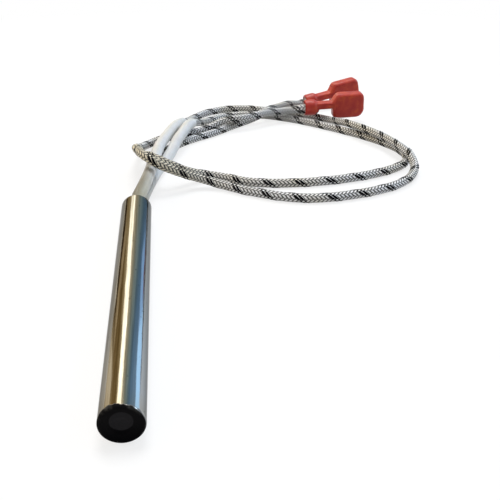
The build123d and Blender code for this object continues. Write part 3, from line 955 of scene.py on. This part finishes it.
def sleeving_finish():
    """Varnished white sleeving, greyish yellow near the rod, with painted shade on one side."""
    finish, shader, place = new_finish("white_sleeving")
    tube_map = tube_map_of(finish.node_tree)
    cells = diagonals(tube_map, WEAVE_CELLS_ROUND, 1 / (WEAVE_CELL * MM))
    weave = times(*[wave_of("SINE", count, math.pi) for count in cells])
    glaze = ramp(noise(place, GLAZE_SCALE), GLAZE_TONES)
    open_end = OPEN_END_Y * MM
    from_rod = axes_of(place)["Y"]
    heated = fade(from_rod, open_end, open_end + HEATED_LEN * MM, HEATED_SHARE, 0.0)
    glaze = mixed(heated, glaze, HEATED_GLAZE)
    # Painted shade on one side, strongest near the rod.
    off_side = minus(tube_map["X"], SHADED_SIDE)
    side_shade = fade(wave_of("COSINE", off_side, 2 * math.pi), *SIDE_SHADE_EDGES)
    side_shade_strength = fade(heated, 0.0, SIDE_SHADE_FULL_HEAT, *SIDE_SHADE_SHARES)
    glaze = mixed(times(side_shade, side_shade_strength), glaze, SIDE_SHADE_COLOUR)
    # Painted shade in the hollows of the weave.
    shade = fade(weave, -1.0, 1.0, WEAVE_SHARE, 0.0)
    feed(
        shader,
        Base_Color=mixed(shade, glaze, WEAVE_SHADE),
        Roughness=0.36,
        Subsurface_Weight=0.1,
        Subsurface_Radius=(1.2 * MM, 1.0 * MM, 0.8 * MM),
        Coat_Weight=0.15,
    )
    bump(shader, weave, WEAVE_RELIEF)
    return finish


wear_finish(sleeving_finish(), *sleeve_tubes.values())

# %% [markdown]
# ## Nylon
# The housings are red nylon, a little see-through at the edges and satin on top. A flat red
# would look like paint. Gentle patches from a deep to a warm red, a little light under the
# surface and a soft grain make it look moulded.

# %% Nylon finish
NYLON_TONES = [
    (0.30, (0.40, 0.028, 0.022)),
    (0.55, (0.48, 0.046, 0.028)),
    (0.70, (0.56, 0.074, 0.026)),
]
NYLON_SCALE = 0.3
NYLON_GRAIN = 1.2
NYLON_RELIEF = 0.03


def nylon_finish():
    """Satin red nylon with gentle patches and a soft grain."""
    finish, shader, place = new_finish("red_nylon")
    feed(
        shader,
        Base_Color=ramp(noise(place, NYLON_SCALE), NYLON_TONES),
        Roughness=0.38,
        Subsurface_Weight=0.12,
        Subsurface_Radius=(1.5 * MM, 0.3 * MM, 0.2 * MM),
        Specular_IOR_Level=0.3,
    )
    bump(shader, noise(place, NYLON_GRAIN, detail=4), NYLON_RELIEF)
    return finish


wear_finish(nylon_finish(), *housings.values())

# %% [markdown]
# ## Metal, ceramic and packed oxide
# The clips and rings are tinned brass, and the rod's inner pieces are ceramic, packed oxide
# and wire. They are mostly hidden, but they show at the open ends, so each gets a finish of
# its own. They differ only in colours, gloss and grain, so one function makes them all.

# %% The other finishes
PATCH_SCALE = 0.5
GRAIN_SCALE = 2.0


def plain_finish(name, dark, pale, roughness, metallic=0.0, grain_depth=0.01):
    """A finish with gentle patches of colour and a fine grain."""
    finish, shader, place = new_finish(name)
    patches = ramp(noise(place, PATCH_SCALE), [(0.3, dark), (0.7, pale)])
    feed(shader, Base_Color=patches, Roughness=roughness, Metallic=metallic)
    bump(shader, noise(place, GRAIN_SCALE), grain_depth)
    return finish


tinned_brass = plain_finish("tinned_brass", (0.55, 0.52, 0.46), (0.72, 0.70, 0.66), 0.3, 1.0)
ceramic = plain_finish("fired_ceramic", (0.74, 0.71, 0.64), (0.84, 0.82, 0.76), 0.6)
oxide = plain_finish("packed_oxide", (0.70, 0.70, 0.68), (0.80, 0.80, 0.78), 0.9, 0.0, 0.03)
heating_wire = plain_finish("heating_wire", (0.22, 0.21, 0.20), (0.34, 0.33, 0.32), 0.4, 1.0)
nickel = plain_finish("nickel_pin", (0.56, 0.54, 0.50), (0.68, 0.66, 0.62), 0.3, 1.0)
inner_finishes = [
    (ceramic, ["tip_insulator", "winding_core", "splice_insulator", "lead_end_bushing"]),
    (oxide, ["magnesia_fill"]),
    (heating_wire, ["heating_coil"]),
    (nickel, ["power_pin_1", "power_pin_2", "lead_splice_1", "lead_splice_2"]),
    (tinned_brass, ["crimp_sleeve_1", "crimp_sleeve_2", "receptacle_1", "receptacle_2"]),
]
for finish, names in inner_finishes:
    wear_finish(finish, *[frame["nodes"][name] for name in names])
wear_finish(nickel, *bare_wires)
print("finishes:", len(bpy.data.materials))

# %% [markdown]
# ## Putting the pieces on the body
# Every visible piece rides on the one body and replaces the imported solid that it stands for,
# which is hidden. The bare wires ride on it too.

# %% Bodies
visible_pieces = [
    (sheath, "polished_steel", ["sheath_tube"]),
    (welded_end, "heat_darkened_steel", ["end_disc"]),
]
for number in LEAD_ROUTES:
    visible_pieces += [
        (braided_leads[number], "traced_braid", [f"lead_{number}"]),
        (sleeve_tubes[number], "white_sleeving", [f"sleeve_{number}"]),
        (housings[number], "red_nylon", [f"terminal_housing_{number}"]),
    ]
for piece, slot_name, solids in visible_pieces:
    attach(piece, "root")
    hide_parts(*solids)
for piece in bare_wires:
    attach(piece, "root")
print("pieces on the body:", len(visible_pieces) + len(bare_wires))

for number in LEAD_ROUTES:
    points, along = lead_lines[number]

# %% [markdown]
# ## The floor
# The floor and the backdrop read as white, to the camera and in the metal alike. Strong lamps
# could burn the floor out to white, but they would bleach the object too. So the floor is a
# plain pale paint that keeps its soft shadow near the object, and further out it turns into
# plain white paper that gives off its own light, so that no horizon shows.

# %% Floor
FLOOR_SIZE = 12.0
FLOOR_PALE = (0.55, 0.55, 0.55)
FLOOR_WHITE = (0.92, 0.92, 0.92)
FLOOR_SHADOW_SHARE = 0.24
SHADOW_MIDDLE = (0.04, 0.05, 0.0)
SHADOW_NEAR = 0.15
SHADOW_FAR = 0.45


def seen_directly(tree):
    """1 for the camera, and for what metal and glass show, else 0."""
    light = node("LightPath", tree=tree).outputs
    sight = larger(light["Is Camera Ray"], light["Is Glossy Ray"])
    return larger(sight, light["Is Transmission Ray"])


def bare_tree(name):
    """A material without its usual shader, and its node tree."""
    finish = bpy.data.materials.new(name)
    finish.use_nodes = True
    tree = finish.node_tree
    tree.nodes.remove(tree.nodes["Principled BSDF"])
    return finish, tree


def stage_piece(name, corners, faces, finish):
    """A flat piece of the stage, which isn't part of the object."""
    mesh = bpy.data.meshes.new(name)
    mesh.from_pydata(corners, [], faces)
    piece = placed(name, mesh)
    wear_finish(finish, piece)
    return piece


floor_finish, tree = bare_tree("white_floor")
sight = seen_directly(tree)
paint = node("BsdfDiffuse", Color=mixed(sight, FLOOR_PALE, FLOOR_WHITE))
paper = node("Emission", tree=tree, Strength=1.0)
place = node("TexCoord", tree=tree).outputs["Object"]
distance = distance_of(place, SHADOW_MIDDLE)
shadow_kept = fade(distance, SHADOW_NEAR, SHADOW_FAR, FLOOR_SHADOW_SHARE, 0.0)
share = times(sight, minus(1.0, shadow_kept))
both = node("MixShader", n0=share, n1=paint.outputs[0], n2=paper.outputs[0])
feed(tree.nodes["Material Output"], Surface=both.outputs[0])

half = FLOOR_SIZE / 2
floor_corners = [(-half, -half, 0), (half, -half, 0), (half, half, 0), (-half, half, 0)]
stage_piece("floor", floor_corners, [(0, 1, 2, 3)], floor_finish)
print("floor:", FLOOR_SIZE, "m wide")

# %% [markdown]
# ## What the steel reflects
# A polished rod is drawn by what stands round it. A picture of a real room would do it, but
# it would be one more file and hard to adjust. So a ring of tall cards stands well outside
# the view: tan and brown ones with a pale part behind the left of the rod, blue-grey ones
# behind the right of it, and quiet greys with two lit windows in front.

# %% The ring's colours by angle, in degrees
RING_FRONT_MIDDLE = math.radians(180)
RING_FRONT_HALF = math.radians(120)
BACK_COLOURS = [
    (-60, (0.60, 0.54, 0.43)),
    (-39, (0.75, 0.62, 0.40)),
    (-33, (0.36, 0.25, 0.11)),
    (-24, (0.26, 0.17, 0.06)),
    (-20, (0.62, 0.48, 0.25)),
    (-14, (0.90, 0.75, 0.48)),
    (-3, (1.15, 1.00, 0.76)),
    (4, (0.62, 0.57, 0.40)),
    (10, (0.38, 0.42, 0.37)),
    (16, (0.32, 0.42, 0.42)),
    (21, (0.17, 0.26, 0.32)),
    (27, (0.17, 0.30, 0.45)),
    (36, (0.32, 0.46, 0.60)),
    (60, (0.50, 0.53, 0.58)),
]
FRONT_COLOURS = [
    (60, (0.50, 0.53, 0.58)),
    (110, (0.34, 0.35, 0.37)),
    (127, (0.20, 0.21, 0.23)),
    (131, (1.50, 1.55, 1.62)),
    (141, (1.50, 1.55, 1.62)),
    (145, (0.20, 0.20, 0.22)),
    (215, (0.20, 0.20, 0.20)),
    (219, (1.60, 1.50, 1.36)),
    (229, (1.60, 1.50, 1.36)),
    (233, (0.22, 0.21, 0.19)),
    (260, (0.40, 0.37, 0.31)),
    (300, (0.60, 0.54, 0.43)),
]


def angle_ramp(angle, colours):
    """Colours by an angle, from the first of the list to the last."""
    lowest, highest = colours[0][0], colours[-1][0]
    reach = fade(angle, math.radians(lowest), math.radians(highest))
    return ramp(reach, [((at - lowest) / (highest - lowest), c) for at, c in colours])


def ring_colours(tree):
    """The ring's colours by the angle round it, from one list behind and one in front."""
    axes = axes_of(node("TexCoord", tree=tree).outputs["Object"])
    angle = math_of("ARCTAN2", axes["X"], axes["Y"])
    onward = math_of("FLOORED_MODULO", angle, math.radians(360))
    compare = {"operation": "COMPARE"}
    in_front = node("Math", compare, n0=onward, n1=RING_FRONT_MIDDLE, n2=RING_FRONT_HALF)
    behind = angle_ramp(angle, BACK_COLOURS)
    return mixed(in_front.outputs[0], behind, angle_ramp(onward, FRONT_COLOURS))


# %% The ring of cards
RING_RADIUS = 2.5
RING_TOP = 3.0
RING_PARTS = 180


def card_finish(name, colour=None):
    """A card that gives off one colour, or the ring's colours."""
    finish, tree = bare_tree(name)
    glow = node("Emission", tree=tree, Color=opaque(colour or ring_colours(tree)))
    feed(tree.nodes["Material Output"], Surface=glow.outputs[0])
    return finish


def ring_place(degrees, height, radius=RING_RADIUS):
    """A place on the ring: the angle runs clockwise from straight behind the rod."""
    angle = math.radians(degrees)
    return (radius * math.sin(angle), radius * math.cos(angle), height)


def studio_card(name, corners, faces, finish):
    """A card that lights the object and shows in its polish, but not to the camera."""
    card = stage_piece(name, corners, faces, finish)
    card.visible_camera = False


ring_corners = [
    ring_place(360 * k / RING_PARTS, z) for z in (0, RING_TOP) for k in range(RING_PARTS)
]
ring_faces = [
    (k, (k + 1) % RING_PARTS, RING_PARTS + (k + 1) % RING_PARTS, RING_PARTS + k)
    for k in range(RING_PARTS)
]
studio_card("card_ring", ring_corners, ring_faces, card_finish("card_ring"))
print("ring of cards:", RING_PARTS, "parts")

# %% [markdown]
# ## Single cards
# The ring gives stripes that run the whole length of the rod. The real ones change along it,
# because the things in the room have a top and a bottom. Low cards show near the open end or
# the side of the rod, and a tall leaning one gives the pale stripe on its crown. Each is
# written as the angles of its foot, the angles of its head, its heights and its colour.

# %% Cards in front of the ring
SINGLE_CARDS = {
    "low_pale_strip": ((-33, -20), (-33, -20), (0.00, 0.07), (1.70, 1.60, 1.40)),
    "dark_skirting": ((-33, -21), (-33, -21), (0.09, 0.33), (0.06, 0.035, 0.01)),
    "tan_band": ((-33, -21), (-33, -21), (0.38, 0.64), (0.72, 0.56, 0.34)),
    "pale_corner": ((-48, -35), (-48, -35), (0.05, 0.85), (1.15, 1.02, 0.78)),
    "pale_strip": ((-13.2, -3.6), (-22.0, 1.0), (0.60, 2.75), (3.2, 3.15, 2.80)),
    "pale_blue": ((26, 33), (26, 33), (0.0, 0.46), (0.55, 0.85, 1.28)),
    "bright_blue": ((33, 46), (33, 46), (0.0, 0.60), (1.00, 1.50, 2.00)),
}
CARD_RADIUS = 2.3

for name, (foot_angles, head_angles, heights, colour) in SINGLE_CARDS.items():
    corners = [ring_place(angle, heights[0], CARD_RADIUS) for angle in foot_angles]
    corners += [ring_place(angle, heights[1], CARD_RADIUS) for angle in reversed(head_angles)]
    studio_card(name, corners, [(0, 1, 2, 3)], card_finish(name, colour))
print("single cards:", len(SINGLE_CARDS))

# %% [markdown]
# ## Sky and lamps
# Over the cards there is a plain sky, white to the camera and in the metal, and a dull blue
# grey as light. One broad lamp overhead gives the soft shadow. A warm and a cool lamp at the
# sides are weak, and only turn the white things a little toward straw and blue. The plain
# Standard view shows every colour as it was worked out.

# %% The sky
SKY_COLOUR = (0.32, 0.345, 0.385)
SKY_WHITE = (1.0, 1.0, 1.0)

world = bpy.data.worlds.new("studio")
scene.world = world
world.use_nodes = True
tree = world.node_tree
sky = mixed(seen_directly(tree), SKY_COLOUR, SKY_WHITE)
feed(tree.nodes["Background"], Color=sky)
print("sky:", SKY_COLOUR)

# %% Lamps
LAMPS = {
    "overhead": ((0.10, 0.70, 1.75), 0.8, 23.0, (1.0, 1.0, 1.0)),
    "warm_side": ((-1.60, 0.30, 0.90), 0.8, 8.0, (1.0, 0.80, 0.52)),
    "cool_side": ((1.60, 0.30, 1.10), 0.8, 9.0, (0.62, 0.81, 1.0)),
}
AIM = Vector((0.04, 0.06, 0.0))

for name, (place, size, power, colour) in LAMPS.items():
    lamp = bpy.data.lights.new(name, "AREA")
    lamp.size = size
    lamp.energy = power
    lamp.color = colour
    holder = placed(name, lamp)
    holder.location = place
    holder.rotation_euler = (AIM - Vector(place)).to_track_quat("-Z", "Y").to_euler()
print("lamps:", len(LAMPS))

scene.view_settings.view_transform = "Standard"
